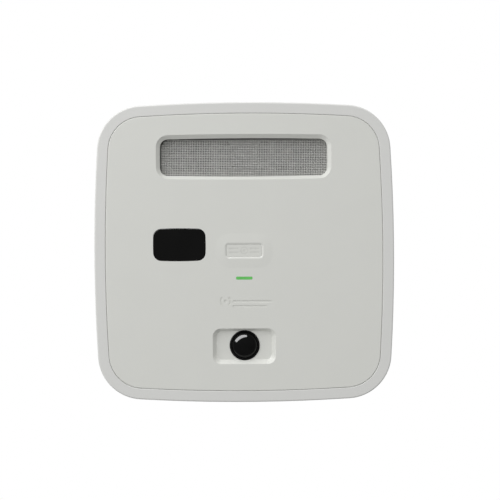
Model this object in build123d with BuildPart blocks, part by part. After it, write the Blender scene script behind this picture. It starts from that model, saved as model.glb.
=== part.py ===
from build123d import *
from math import asin, degrees, sqrt
import os

# Carbon monoxide detector that twists onto a round wall bracket. Sizes are in millimetres.
# Seen from the front, X runs to the right and Z runs up, and Y points into the wall.
# A height is a distance from the wall towards the room, so it lies at Y = -height.
# The origin is on the wall, at the centre of the bracket.

os.makedirs("parts", exist_ok=True)

# ---- Case: outline, heights and walls ----
CASE_WIDTH = 134.0  # across the middles of opposite sides
CASE_BOW = 2.7  # how far each side bows out between its corners
CASE_CORNER = 20.0
BACK_LEVEL = 1.6  # back of the rear housing
SEAM_LEVEL = 14.6  # where the rear housing ends
BEZEL_BACK = 15.0
RIM_LEVEL = 38.0  # flat front of the bezel frame
PANEL_LEVEL = 38.0  # face of the front panel
PANEL_THICK = 2.4
PANEL_BACK = PANEL_LEVEL - PANEL_THICK
BACK_INSET = 5.0
SEAM_INSET = 1.0
PANEL_INSET = 5.0
PANEL_OPENING_INSET = 4.9
SEAM_EDGE_R = 0.35  # rounded edges on both sides of the seam in the face
LEDGE_INSET = 8.2
LEDGE_THICK = 2.0
WALL = 2.0
THREAD_GAP = 0.02  # between a screw and the post it is driven into

# ---- Front panel features: each centre is (x, z) ----
GRILLE_CENTRE = (-0.05, 42.6)  # of the opening in the face
GRILLE_SIZE = (78.5, 20.4)
GRILLE_CORNER = 5.4
THROAT_CENTRE = (-0.1, 42.4)  # of the narrower opening that the sloped edge leads to
THROAT_SIZE = (75.0, 17.2)
THROAT_LEVEL = 36.2
THROAT_CORNER = 3.6
GRILLE_BOW = 0.5
SEAT_CENTRE = (0.0, 42.3)  # of the seat behind the throat, for the mesh and its carrier
SEAT_SIZE = (77.6, 19.2)
SEAT_CORNER = 3.8
MESH_CENTRE = (0.65, 41.75)
MESH_SIZE = (75.7, 17.3)
MESH_CORNER = 3.0
MESH_BACK = 33.7
MESH_THICK = 0.6
CARRIER_BACK = 32.0
WINDOW_CENTRE = (-28.95, 3.4)
WINDOW_SIZE = (23.6, 14.8)
WINDOW_CORNER = 3.6
WINDOW_BOW = (0.4, 0.3)  # of its long and short sides
BUTTON_CENTRE = (0.0, 0.65)
BUTTON_SLOT = (15.7, 5.4)
BUTTON_CORNER = 0.9
BUTTON_SLOPE = 0.8  # width of the sloped edge round the slot
BUTTON_FACE = 37.86
BUTTON_TRAVEL = 0.6
LAMP_CENTRE = (0.0, -11.65)
LAMP_SIZE = (7.3, 1.35)
LAMP_CORNER = 0.4
SIGN_CENTRE = (-8.4, -22.0)
POCKET_CENTRE = (-0.15, -42.1)
POCKET_SIZE = (28.2, 15.9)
POCKET_CORNER = 3.6
POCKET_FLOOR_CENTRE = (-0.25, -41.7)
POCKET_FLOOR_SIZE = (24.7, 12.8)
POCKET_FLOOR_CORNER = 2.6
POCKET_FLOOR = 35.9
LENS_CENTRE = (0.0, -41.7)
LENS_RING_R = 6.7
LENS_R = 5.85
LENS_BASE_LEVEL = 36.0
LENS_CURVE_R = 7.6

# ---- Bracket and twist lock ----
BRACKET_INNER_R = 42.0
BRACKET_OUTER_R = 54.0
BRACKET_THICK = 2.4
SCREW_CIRCLE_R = 48.5
SCREW_HOLE_R = 2.2
HOOK_ANGLES = (0, 90, 180, 270)
HOOK_SPAN = 14.0  # degrees
HOOK_TOP = 6.4
HOOK_TAB_BACK = 4.9
HUB_INNER_R = 43.0
HUB_OUTER_R = 45.0
LUG_R = 47.9
LUG_SPAN = 12.0  # degrees
LUG_BACK = 2.7
LUG_FRONT = 4.6
RECESS_R = 55.0
RECESS_FLOOR = 7.4
FLOOR_THICK = 2.0

# ---- Battery compartment and its door ----
CELL_R = 7.25
CELL_LENGTH = 50.5
CELL_PITCH = 14.9
CELL_LEVEL = 16.8
BAY_HALF_WIDTH = 22.6
BAY_HALF_LENGTH = 28.0
BAY_WALL = 1.5
BAY_FRONT = 24.9
CONTACT_THICK = 0.4
TAB_WIDTH = 3.0
TAB_FRONT = 29.4
TAB_CENTRES = (
    (-CELL_PITCH, BAY_HALF_LENGTH - CONTACT_THICK / 2),
    (CELL_PITCH, -BAY_HALF_LENGTH + CONTACT_THICK / 2),
)
TAB_SLOT = (TAB_WIDTH + 0.6, CONTACT_THICK + 0.6)
DOOR_HALF_WIDTH = 23.6
DOOR_BOTTOM = -29.5
DOOR_TOP = 28.6
DOOR_THICK = 1.8
DOOR_GAP = 0.25
HINGE_Z = 31.2
HINGE_LEVEL = 8.2
KNUCKLE_R = 1.7
PIN_R = 0.75
PIN_CLEARANCE = 0.05

# ---- Electronics ----
BOARD_BACK = 27.0
BOARD_THICK = 1.6
BOARD_FRONT = BOARD_BACK + BOARD_THICK
POST_CENTRES = ((-48, -48), (48, -48), (-48, 48), (48, 48))
SIDE_BOARD_POSTS = ((-52, 18), (52, 18))
LOWER_BOARD_POSTS = ((-38, -54), (38, -54))
BOARD_POSTS = SIDE_BOARD_POSTS + LOWER_BOARD_POSTS
PLUNGER_BACK = 31.3
PLUNGER_FRONT = 33.1
SPEAKER_CENTRE = (-19.5, 43.5)
SIREN_CENTRE = (19.5, 43.5)
SIREN_R = 13.5
SENSOR_CENTRE = (40.0, -6.0)


def level(height):
    """Plane that faces the room, at a height above the wall."""
    return Plane.XZ.offset(height)


def turning_plane(centre):
    """Plane for a turned profile: its X is the radius and its Y is minus the height."""
    return Plane(origin=(centre[0], 0, centre[1]), x_dir=(1, 0, 0), z_dir=(0, 0, 1))


def turning_axis(centre):
    """Axis through a centre (x, z), square to the wall."""
    return Axis((centre[0], 0, centre[1]), (0, -1, 0))


def bowed_rectangle(width, height, bow_across, bow_up, corner):
    """Round-cornered rectangle with bowed sides, measured across the middles of its sides."""
    right = width / 2
    top = height / 2
    right_end = right - bow_up
    top_end = top - bow_across
    with BuildSketch(mode=Mode.PRIVATE) as outline:
        with BuildLine():
            ThreePointArc((-right_end, -top_end), (0, -top), (right_end, -top_end))
            ThreePointArc((right_end, -top_end), (right, 0), (right_end, top_end))
            ThreePointArc((right_end, top_end), (0, top), (-right_end, top_end))
            ThreePointArc((-right_end, top_end), (-right, 0), (-right_end, -top_end))
        make_face()
        fillet(outline.vertices(), corner)
    return outline.sketch_local


def case_outline(inset):
    """Outline of the case, moved in by an inset all the way round."""
    side_r = ((CASE_WIDTH / 2 - CASE_BOW) ** 2 + CASE_BOW**2) / (2 * CASE_BOW)
    centre_offset = side_r - CASE_WIDTH / 2
    corner = (sqrt(2 * (side_r - inset) ** 2 - centre_offset**2) - centre_offset) / 2
    width = CASE_WIDTH - 2 * inset
    bow = width / 2 - corner
    return bowed_rectangle(width, width, bow, bow, CASE_CORNER - inset)


def grille_outline(size, corner):
    """Slightly bowed outline for the grille's opening or its throat."""
    return bowed_rectangle(*size, GRILLE_BOW, GRILLE_BOW / 2, corner)


def window_outline(shrink):
    """Outline of the display window, smaller by a distance on every side."""
    return bowed_rectangle(
        WINDOW_SIZE[0] - 2 * shrink,
        WINDOW_SIZE[1] - 2 * shrink,
        *WINDOW_BOW,
        WINDOW_CORNER - shrink,
    )


def ring_sector(inner, outer, start, span):
    """Part of a flat ring, from a start angle over a span in degrees."""
    with BuildSketch(mode=Mode.PRIVATE) as sector:
        with BuildLine():
            outside = CenterArc((0, 0), outer, start, span)
            inside = CenterArc((0, 0), inner, start, span)
            Line(inside @ 0, outside @ 0)
            Line(inside @ 1, outside @ 1)
        make_face()
    return sector.sketch_local


def ring_face(outer, inner):
    """Flat ring, or a disc where the inner radius is 0."""
    with BuildSketch(mode=Mode.PRIVATE) as ring:
        Circle(outer)
        if inner > 0:
            Circle(inner, mode=Mode.SUBTRACT)
    return ring.sketch_local


# ---- Wall bracket: a flat ring with four hooks that hold the detector's lugs ----
HOOK_INNER_R = 45.6
HOOK_WALL_R = 48.5
HOOK_OUTER_R = 50.5
STOP_START = -9.5  # degrees from the middle of a hook to its end stop
STOP_SPAN = 2.5
BRACKET_CHAMFER = 0.4
SCREW_SINK_R = 3.6

with BuildPart() as wall_bracket:
    with BuildSketch(level(0)):
        Circle(BRACKET_OUTER_R)
        Circle(BRACKET_INNER_R, mode=Mode.SUBTRACT)
    extrude(amount=BRACKET_THICK)
    rim_edges = wall_bracket.edges().filter_by(GeomType.CIRCLE).group_by(Axis.Y)[0]
    chamfer(rim_edges, BRACKET_CHAMFER)
    with BuildSketch(level(BRACKET_THICK)):
        for angle in HOOK_ANGLES:
            add(ring_sector(HOOK_WALL_R, HOOK_OUTER_R, angle + STOP_START, HOOK_SPAN + STOP_SPAN))
    extrude(amount=HOOK_TOP - BRACKET_THICK)
    with BuildSketch(level(HOOK_TAB_BACK)):
        for angle in HOOK_ANGLES:
            add(ring_sector(HOOK_INNER_R, HOOK_WALL_R, angle + STOP_START, HOOK_SPAN + STOP_SPAN))
    extrude(amount=HOOK_TOP - HOOK_TAB_BACK)
    with BuildSketch(level(BRACKET_THICK)):
        for angle in HOOK_ANGLES:
            add(ring_sector(HOOK_INNER_R, HOOK_WALL_R, angle + STOP_START, STOP_SPAN))
    extrude(amount=HOOK_TAB_BACK - BRACKET_THICK)
    with Locations(level(BRACKET_THICK)):
        with PolarLocations(SCREW_CIRCLE_R, 4, start_angle=45):
            CounterSinkHole(SCREW_HOLE_R, SCREW_SINK_R, BRACKET_THICK, counter_sink_angle=90)
wall_bracket.part.label = "wall_bracket"
export_step(wall_bracket.part, "parts/wall_bracket.step")

# ---- Rear housing: back shell with the lock recess, battery compartment and posts ----
BOSS_R = 5.0
BOSS_FRONT = 16.0
CASE_SCREW_SEAT = 7.0
CASE_SCREW_R = 1.3
DOOR_LEDGE = 9.3
BACK_EDGE_R = 2.5
BACK_CAVITY_INSET = 6.8
CASE_SCREW_BORE_R = 3.5
CASE_SCREW_CLEARANCE = 0.3
BOARD_POST_R = 3.0
LUG_ROOT_R = 44.0
CRADLES = (  # centre, outer radius, inner radius and front of each ring
    (SPEAKER_CENTRE, 10.4, 9.2, 22.0),
    (SIREN_CENTRE, SIREN_R + 1.3, SIREN_R + 0.1, 24.0),
)
BAY_CORNER = 1.0
HINGE_PAD = (48.2, 6.4)
HINGE_PAD_Z = 32.3
HINGE_PAD_FRONT = 12.2
HINGE_POCKET = (42.8, 5.4)
HINGE_POCKET_FRONT = 10.8
EAR_CLEARANCE = 0.01
EAR_RANGES = ((-21.0, -18.3), (-9.7, -7.0), (7.0, 9.7), (18.3, 21.0))
KNUCKLE_RANGES = ((-18.0, -10.0), (10.0, 18.0))
BOARD_SCREW_R = 0.9
BOARD_SCREW_DEPTH = 9.0
SCOOP_SIZE = (15.0, 5.0)
SCOOP_Z = -31.3
SCOOP_CORNER = 2.0
SCOOP_DEPTH = 1.2
VENT_COUNT = 9
VENT_PITCH = 4.0
VENT_SLOT = (5.6, 1.6)
VENT_LEVEL = 10.6
VENT_START = 59.0  # from the centre of the case

with BuildPart() as rear_housing:
    with BuildSketch(level(BACK_LEVEL)):
        add(case_outline(BACK_INSET))
    with BuildSketch(level(SEAM_LEVEL)):
        add(case_outline(SEAM_INSET))
    loft(ruled=True)
    fillet(rear_housing.faces().sort_by(Axis.Y)[-1].edges(), BACK_EDGE_R)
    with BuildSketch(level(BACK_LEVEL + WALL)):
        add(case_outline(BACK_CAVITY_INSET))
    with BuildSketch(level(SEAM_LEVEL)):
        add(case_outline(SEAM_INSET + WALL))
    loft(ruled=True, mode=Mode.SUBTRACT)
    # Round recess that takes the bracket, with the hub and its four lugs.
    with BuildSketch(level(BACK_LEVEL)):
        Circle(RECESS_R + WALL)
    extrude(amount=RECESS_FLOOR + FLOOR_THICK - BACK_LEVEL)
    with BuildSketch(level(BACK_LEVEL)):
        Circle(RECESS_R)
    extrude(amount=RECESS_FLOOR - BACK_LEVEL, mode=Mode.SUBTRACT)
    with BuildSketch(level(LUG_BACK)):
        Circle(HUB_OUTER_R)
        Circle(HUB_INNER_R, mode=Mode.SUBTRACT)
    extrude(amount=RECESS_FLOOR - LUG_BACK)
    with BuildSketch(level(LUG_BACK)):
        for angle in HOOK_ANGLES:
            add(ring_sector(LUG_ROOT_R, LUG_R, angle - LUG_SPAN / 2, LUG_SPAN))
    extrude(amount=LUG_FRONT - LUG_BACK)
    # Bosses for the case screws and posts for the main board.
    with BuildSketch(level(BACK_LEVEL + WALL / 2)):
        with Locations(*POST_CENTRES):
            Circle(BOSS_R)
    extrude(amount=BOSS_FRONT - BACK_LEVEL - WALL / 2)
    with BuildSketch(level(BACK_LEVEL + WALL / 2)):
        with Locations(*LOWER_BOARD_POSTS):
            Circle(BOARD_POST_R)
    extrude(amount=BOARD_BACK - BACK_LEVEL - WALL / 2)
    with BuildSketch(level(RECESS_FLOOR + FLOOR_THICK / 2)):
        with Locations(*SIDE_BOARD_POSTS):
            Circle(BOARD_POST_R)
    extrude(amount=BOARD_BACK - RECESS_FLOOR - FLOOR_THICK / 2)
    # Cradles round the speaker's magnet and the siren.
    for centre, outer, inner, front in CRADLES:
        with BuildSketch(level(RECESS_FLOOR + FLOOR_THICK / 2)):
            with Locations(centre):
                add(ring_face(outer, inner))
        extrude(amount=front - RECESS_FLOOR - FLOOR_THICK / 2)
    # Battery compartment, with a pad that backs the hinge pocket.
    with BuildSketch(level(RECESS_FLOOR + FLOOR_THICK / 2)):
        Rectangle(2 * (BAY_HALF_WIDTH + BAY_WALL), 2 * (BAY_HALF_LENGTH + BAY_WALL))
    extrude(amount=BAY_FRONT + BAY_WALL - RECESS_FLOOR - FLOOR_THICK / 2)
    with BuildSketch(level(RECESS_FLOOR)):
        with Locations((0, HINGE_PAD_Z)):
            Rectangle(*HINGE_PAD)
    extrude(amount=HINGE_PAD_FRONT - RECESS_FLOOR)
    with BuildSketch(level(RECESS_FLOOR)):
        RectangleRounded(2 * BAY_HALF_WIDTH, 2 * BAY_HALF_LENGTH, BAY_CORNER)
    extrude(amount=BAY_FRONT - RECESS_FLOOR, mode=Mode.SUBTRACT)
    with BuildSketch(level(BAY_FRONT)):
        with Locations(*TAB_CENTRES):
            Rectangle(*TAB_SLOT)
    extrude(amount=BAY_WALL, mode=Mode.SUBTRACT)
    with BuildSketch(level(RECESS_FLOOR)):
        with Locations((0, (DOOR_BOTTOM + DOOR_TOP) / 2)):
            Rectangle(
                2 * (DOOR_HALF_WIDTH + DOOR_GAP),
                DOOR_TOP - DOOR_BOTTOM + 2 * DOOR_GAP,
            )
    extrude(amount=DOOR_LEDGE - RECESS_FLOOR, mode=Mode.SUBTRACT)
    with BuildSketch(level(RECESS_FLOOR)):
        with Locations((0, HINGE_Z)):
            Rectangle(*HINGE_POCKET)
    extrude(amount=HINGE_POCKET_FRONT - RECESS_FLOOR, mode=Mode.SUBTRACT)
    for start, end in EAR_RANGES:
        with BuildSketch(Plane.YZ.offset(start)):
            with Locations((-HINGE_LEVEL, HINGE_Z)):
                Circle(KNUCKLE_R)
            with Locations(((-HINGE_LEVEL - HINGE_POCKET_FRONT) / 2, HINGE_Z)):
                Rectangle(HINGE_POCKET_FRONT - HINGE_LEVEL, 2 * KNUCKLE_R)
            with Locations((-HINGE_LEVEL, HINGE_Z)):
                Circle(PIN_R + EAR_CLEARANCE, mode=Mode.SUBTRACT)
        extrude(amount=end - start)
    # Finger scoop below the free end of the door.
    with BuildSketch(level(RECESS_FLOOR)):
        with Locations((0, SCOOP_Z)):
            RectangleRounded(*SCOOP_SIZE, SCOOP_CORNER)
    extrude(amount=SCOOP_DEPTH, mode=Mode.SUBTRACT)
    # Screw holes.
    with BuildSketch(level(BACK_LEVEL)):
        with Locations(*POST_CENTRES):
            Circle(CASE_SCREW_BORE_R)
    extrude(amount=CASE_SCREW_SEAT - BACK_LEVEL, mode=Mode.SUBTRACT)
    with BuildSketch(level(BACK_LEVEL)):
        with Locations(*POST_CENTRES):
            Circle(CASE_SCREW_R + CASE_SCREW_CLEARANCE)
    extrude(amount=BOSS_FRONT - BACK_LEVEL, mode=Mode.SUBTRACT)
    with BuildSketch(level(BOARD_BACK)):
        with Locations(*BOARD_POSTS):
            Circle(BOARD_SCREW_R + THREAD_GAP)
    extrude(amount=-BOARD_SCREW_DEPTH, mode=Mode.SUBTRACT)
    # Gas vents through both side walls.
    for side in (-1, 1):
        with BuildSketch(Plane.YZ.offset(side * VENT_START)):
            with Locations((-VENT_LEVEL, 0)):
                with GridLocations(1, VENT_PITCH, 1, VENT_COUNT):
                    SlotOverall(*VENT_SLOT)
        extrude(amount=side * (CASE_WIDTH / 2 - VENT_START), mode=Mode.SUBTRACT)
rear_housing.part.label = "rear_housing"
export_step(rear_housing.part, "parts/rear_housing.step")

# ---- Housing seal: thin gasket in the seam between the two case halves ----
SEAL_INSETS = (1.7, 2.8)  # of its outer and inner edges

with BuildPart() as housing_seal:
    with BuildSketch(level(SEAM_LEVEL)):
        add(case_outline(SEAL_INSETS[0]))
        add(case_outline(SEAL_INSETS[1]), mode=Mode.SUBTRACT)
    extrude(amount=BEZEL_BACK - SEAM_LEVEL)
housing_seal.part.label = "housing_seal"
export_step(housing_seal.part, "parts/housing_seal.step")

# ---- Bezel frame: the side wall, the flat rim and the ledge behind the panel ----
BEZEL_BACK_INSET = 1.2
BEZEL_FULL_LEVEL = 33.0  # the side wall reaches its full width here
BEZEL_EDGE_R = 0.6
BEZEL_CAVITY_INSETS = (3.4, 2.6)  # at the back and at the ledge

with BuildPart() as bezel_frame:
    with BuildSketch(level(BEZEL_BACK)):
        add(case_outline(BEZEL_BACK_INSET))
    with BuildSketch(level(BEZEL_FULL_LEVEL)):
        add(case_outline(0))
    loft(ruled=True)
    with BuildSketch(level(BEZEL_FULL_LEVEL)):
        add(case_outline(0))
    extrude(amount=RIM_LEVEL - BEZEL_FULL_LEVEL)
    fillet(bezel_frame.faces().sort_by(Axis.Y)[0].edges(), BEZEL_EDGE_R)
    with BuildSketch(level(BEZEL_BACK)):
        add(case_outline(BEZEL_CAVITY_INSETS[0]))
    with BuildSketch(level(PANEL_BACK - LEDGE_THICK)):
        add(case_outline(BEZEL_CAVITY_INSETS[1]))
    loft(ruled=True, mode=Mode.SUBTRACT)
    with BuildSketch(level(PANEL_BACK - LEDGE_THICK)):
        add(case_outline(LEDGE_INSET))
    extrude(amount=LEDGE_THICK, mode=Mode.SUBTRACT)
    with BuildSketch(level(PANEL_BACK)):
        add(case_outline(PANEL_OPENING_INSET))
    extrude(amount=RIM_LEVEL - PANEL_BACK, mode=Mode.SUBTRACT)
    fillet(bezel_frame.faces().sort_by(Axis.Y)[0].inner_wires()[0].edges(), SEAM_EDGE_R)
bezel_frame.part.label = "bezel_frame"
export_step(bezel_frame.part, "parts/bezel_frame.step")

# ---- Front panel: the face, with its openings, lens pocket and screw posts ----
POST_R = 3.2
POST_BACK = 16.0
POST_HOLE_DEPTH = 12.0
COLLAR_BACK = 32.6
COLLAR_WALL = 1.4
PAD_RISE = 0.16
PAD_STEPS = (  # rise, width, height, corner radius
    (0.0, 25.6, 15.6, 6.4),
    (0.09, 21.8, 11.4, 4.6),
    (PAD_RISE, 18.0, 7.8, 2.6),
)
POCKET_FLOOR_THICK = 1.5
RING_GAP = 0.05
SIGN_DEPTH = 0.2
SIGN_DOT_R = 0.8
SIGN_ARCS = ((2.2, 52.0),)  # radius, half angle in degrees
SIGN_STROKE = 0.8
SIGN_BARS = ((3.5, -22.1, 17.6, 1.2), (2.5, -24.2, 15.6, 1.0))  # x, z, length, height

with BuildPart() as front_panel:
    with BuildSketch(level(PANEL_BACK)):
        add(case_outline(PANEL_INSET))
    extrude(amount=PANEL_THICK)
    fillet(front_panel.faces().sort_by(Axis.Y)[0].edges(), SEAM_EDGE_R)
    # Screw posts.
    with BuildSketch(level(PANEL_BACK)):
        with Locations(*POST_CENTRES):
            Circle(POST_R)
    extrude(amount=POST_BACK - PANEL_BACK)
    with BuildSketch(level(POST_BACK)):
        with Locations(*POST_CENTRES):
            Circle(CASE_SCREW_R + THREAD_GAP)
    extrude(amount=POST_HOLE_DEPTH, mode=Mode.SUBTRACT)
    # Grille: a collar behind the panel, then the sloped opening and the seat of the mesh.
    with BuildSketch(level(PANEL_BACK)):
        with Locations(SEAT_CENTRE):
            RectangleRounded(
                SEAT_SIZE[0] + 2 * COLLAR_WALL,
                SEAT_SIZE[1] + 2 * COLLAR_WALL,
                SEAT_CORNER + COLLAR_WALL,
            )
    extrude(amount=COLLAR_BACK - PANEL_BACK)
    with BuildSketch(level(COLLAR_BACK)):
        with Locations(SEAT_CENTRE):
            RectangleRounded(*SEAT_SIZE, SEAT_CORNER)
    extrude(amount=MESH_BACK + MESH_THICK - COLLAR_BACK, mode=Mode.SUBTRACT)
    with BuildSketch(level(MESH_BACK)):
        with Locations(THROAT_CENTRE):
            add(grille_outline(THROAT_SIZE, THROAT_CORNER))
    extrude(amount=PANEL_LEVEL - MESH_BACK, mode=Mode.SUBTRACT)
    with BuildSketch(level(THROAT_LEVEL)):
        with Locations(THROAT_CENTRE):
            add(grille_outline(THROAT_SIZE, THROAT_CORNER))
    with BuildSketch(level(PANEL_LEVEL)):
        with Locations(GRILLE_CENTRE):
            add(grille_outline(GRILLE_SIZE, GRILLE_CORNER))
    loft(ruled=True, mode=Mode.SUBTRACT)
    # Display window opening.
    with BuildSketch(level(PANEL_BACK)):
        with Locations(WINDOW_CENTRE):
            add(window_outline(0))
    extrude(amount=PANEL_THICK, mode=Mode.SUBTRACT)
    # Raised pad round the test button, and the button's slot.
    for rise, width, height, corner in PAD_STEPS:
        with BuildSketch(level(PANEL_LEVEL + rise)):
            with Locations(BUTTON_CENTRE):
                RectangleRounded(width, height, corner)
    loft(ruled=True)
    with BuildSketch(level(PANEL_BACK)):
        with Locations(BUTTON_CENTRE):
            RectangleRounded(*BUTTON_SLOT, BUTTON_CORNER)
    extrude(amount=PANEL_THICK + PAD_RISE, mode=Mode.SUBTRACT)
    with BuildSketch(level(BUTTON_FACE)):
        with Locations(BUTTON_CENTRE):
            RectangleRounded(*BUTTON_SLOT, BUTTON_CORNER)
    with BuildSketch(level(PANEL_LEVEL + PAD_RISE)):
        with Locations(BUTTON_CENTRE):
            RectangleRounded(
                BUTTON_SLOT[0] + 2 * BUTTON_SLOPE,
                BUTTON_SLOT[1] + 2 * BUTTON_SLOPE,
                BUTTON_CORNER + BUTTON_SLOPE,
            )
    loft(ruled=True, mode=Mode.SUBTRACT)
    # Lamp slot.
    with BuildSketch(level(PANEL_BACK)):
        with Locations(LAMP_CENTRE):
            RectangleRounded(*LAMP_SIZE, LAMP_CORNER)
    extrude(amount=PANEL_THICK, mode=Mode.SUBTRACT)
    # Lens pocket: a tub with sloped walls and a round hole in its floor.
    with BuildSketch(level(PANEL_BACK)):
        with Locations(POCKET_CENTRE):
            RectangleRounded(*POCKET_SIZE, POCKET_CORNER)
    extrude(amount=POCKET_FLOOR - POCKET_FLOOR_THICK - PANEL_BACK)
    with BuildSketch(level(POCKET_FLOOR)):
        with Locations(POCKET_FLOOR_CENTRE):
            RectangleRounded(*POCKET_FLOOR_SIZE, POCKET_FLOOR_CORNER)
    with BuildSketch(level(PANEL_LEVEL)):
        with Locations(POCKET_CENTRE):
            RectangleRounded(*POCKET_SIZE, POCKET_CORNER)
    loft(ruled=True, mode=Mode.SUBTRACT)
    with BuildSketch(level(POCKET_FLOOR - POCKET_FLOOR_THICK)):
        with Locations(LENS_CENTRE):
            Circle(LENS_RING_R + RING_GAP)
    extrude(amount=PANEL_LEVEL - POCKET_FLOOR + POCKET_FLOOR_THICK, mode=Mode.SUBTRACT)
    # Sunk sign: a dot with an arc on each side, and two plain bars beside it.
    with BuildSketch(level(PANEL_LEVEL)):
        with Locations(SIGN_CENTRE):
            Circle(SIGN_DOT_R)
            for radius, half_angle in SIGN_ARCS:
                for middle in (0, 180):
                    add(
                        ring_sector(
                            radius - SIGN_STROKE / 2,
                            radius + SIGN_STROKE / 2,
                            middle - half_angle,
                            2 * half_angle,
                        )
                    )
        for across, up, length, height in SIGN_BARS:
            with Locations((across, up)):
                SlotOverall(length, height)
    extrude(amount=-SIGN_DEPTH, mode=Mode.SUBTRACT)
front_panel.part.label = "front_panel"
export_step(front_panel.part, "parts/front_panel.step")

# ---- Grille: a fine mesh on a slotted carrier ----
CARRIER_SLOT = (23.0, 2.3)
CARRIER_SLOT_PITCH = (25.4, 3.6)
CARRIER_SLOT_ROWS = 4
CARRIER_SLOT_CENTRE = (0.0, 43.2)
CARRIER_GAP = 0.2

with BuildPart() as grille_mesh:
    with BuildSketch(level(MESH_BACK)):
        with Locations(MESH_CENTRE):
            RectangleRounded(*MESH_SIZE, MESH_CORNER)
    extrude(amount=MESH_THICK)
grille_mesh.part.label = "grille_mesh"
export_step(grille_mesh.part, "parts/grille_mesh.step")

with BuildPart() as grille_carrier:
    with BuildSketch(level(CARRIER_BACK)):
        with Locations(SEAT_CENTRE):
            RectangleRounded(
                SEAT_SIZE[0] - 2 * CARRIER_GAP,
                SEAT_SIZE[1] - 2 * CARRIER_GAP,
                SEAT_CORNER - CARRIER_GAP,
            )
        with Locations(CARRIER_SLOT_CENTRE):
            with GridLocations(*CARRIER_SLOT_PITCH, 3, CARRIER_SLOT_ROWS):
                SlotOverall(*CARRIER_SLOT, mode=Mode.SUBTRACT)
    extrude(amount=MESH_BACK - CARRIER_BACK)
grille_carrier.part.label = "grille_carrier"
export_step(grille_carrier.part, "parts/grille_carrier.step")

# ---- Display window: a dark lens with a flange behind the panel ----
WINDOW_FLANGE = 1.2
WINDOW_FLANGE_MARGIN = 1.5
WINDOW_GAP = 0.1
WINDOW_EDGE_R = 0.25

with BuildPart() as display_window:
    with BuildSketch(level(PANEL_BACK - WINDOW_FLANGE)):
        with Locations(WINDOW_CENTRE):
            RectangleRounded(
                WINDOW_SIZE[0] + 2 * WINDOW_FLANGE_MARGIN,
                WINDOW_SIZE[1] + 2 * WINDOW_FLANGE_MARGIN,
                WINDOW_CORNER,
            )
    extrude(amount=WINDOW_FLANGE)
    with BuildSketch(level(PANEL_BACK)):
        with Locations(WINDOW_CENTRE):
            add(window_outline(WINDOW_GAP))
    extrude(amount=PANEL_THICK)
    fillet(display_window.faces().sort_by(Axis.Y)[0].edges(), WINDOW_EDGE_R)
display_window.part.label = "display_window"
export_step(display_window.part, "parts/display_window.step")

# ---- Test button: a cap with a stop flange and a stem that reaches the switch ----
BUTTON_GAP = 0.12
BUTTON_FLANGE_FRONT = 35.2
BUTTON_FLANGE_BACK = 34.2
BUTTON_FLANGE_MARGIN = 1.0
BUTTON_FLANGE_CORNER = 1.2
BUTTON_EDGE_R = 0.15
STEM_R = 1.5
STEM_GAP = 0.05
STEM_BACK = PLUNGER_FRONT + STEM_GAP
ICON_DEPTH = 0.1
ICON_RINGS = ((1.75, 1.25), (0.6, 0.0))  # outer and inner radius
ICON_BAR = (4.2, 0.75)
ICON_BAR_PITCH = (9.2, 1.7)

with BuildPart() as test_button:
    with BuildSketch(level(BUTTON_FLANGE_BACK)):
        with Locations(BUTTON_CENTRE):
            RectangleRounded(
                BUTTON_SLOT[0] + 2 * BUTTON_FLANGE_MARGIN,
                BUTTON_SLOT[1] + 2 * BUTTON_FLANGE_MARGIN,
                BUTTON_FLANGE_CORNER,
            )
    extrude(amount=BUTTON_FLANGE_FRONT - BUTTON_FLANGE_BACK)
    with BuildSketch(level(BUTTON_FLANGE_FRONT)):
        with Locations(BUTTON_CENTRE):
            RectangleRounded(
                BUTTON_SLOT[0] - 2 * BUTTON_GAP,
                BUTTON_SLOT[1] - 2 * BUTTON_GAP,
                BUTTON_CORNER - BUTTON_GAP,
            )
    extrude(amount=BUTTON_FACE - BUTTON_FLANGE_FRONT)
    fillet(test_button.faces().sort_by(Axis.Y)[0].edges(), BUTTON_EDGE_R)
    with BuildSketch(level(STEM_BACK)):
        with Locations(BUTTON_CENTRE):
            Circle(STEM_R)
    extrude(amount=BUTTON_FLANGE_BACK - STEM_BACK)
    with BuildSketch(level(BUTTON_FACE)):
        with Locations(BUTTON_CENTRE):
            add(ring_face(*ICON_RINGS[0]))
            add(ring_face(*ICON_RINGS[1]))
            with GridLocations(*ICON_BAR_PITCH, 2, 2):
                SlotOverall(*ICON_BAR)
    extrude(amount=-ICON_DEPTH, mode=Mode.SUBTRACT)
test_button.part.label = "test_button"
export_step(test_button.part, "parts/test_button.step")

# ---- Lamp: a light pipe over the status diode ----
PIPE_FLANGE_BACK = 34.6
PIPE_BACK = 30.1
PIPE_BACK_SIZE = (3.4, 1.8)
PIPE_FRONT_SIZE = (6.6, 2.2)
PIPE_FLANGE_MARGIN = 1.0
PIPE_FLANGE_CORNER = 0.5
LAMP_GAP = 0.05
DIODE_SIZE = (3.2, 1.6)
DIODE_HEIGHT = 1.2

with BuildPart() as led_light_pipe:
    with BuildSketch(level(PIPE_BACK)):
        with Locations(LAMP_CENTRE):
            Rectangle(*PIPE_BACK_SIZE)
    with BuildSketch(level(PIPE_FLANGE_BACK)):
        with Locations(LAMP_CENTRE):
            Rectangle(*PIPE_FRONT_SIZE)
    loft(ruled=True)
    with BuildSketch(level(PIPE_FLANGE_BACK)):
        with Locations(LAMP_CENTRE):
            RectangleRounded(
                LAMP_SIZE[0] + 2 * PIPE_FLANGE_MARGIN,
                LAMP_SIZE[1] + 2 * PIPE_FLANGE_MARGIN,
                PIPE_FLANGE_CORNER,
            )
    extrude(amount=PANEL_BACK - PIPE_FLANGE_BACK)
    with BuildSketch(level(PANEL_BACK)):
        with Locations(LAMP_CENTRE):
            RectangleRounded(
                LAMP_SIZE[0] - 2 * LAMP_GAP,
                LAMP_SIZE[1] - 2 * LAMP_GAP,
                LAMP_CORNER - LAMP_GAP,
            )
    extrude(amount=PANEL_THICK)
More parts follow.
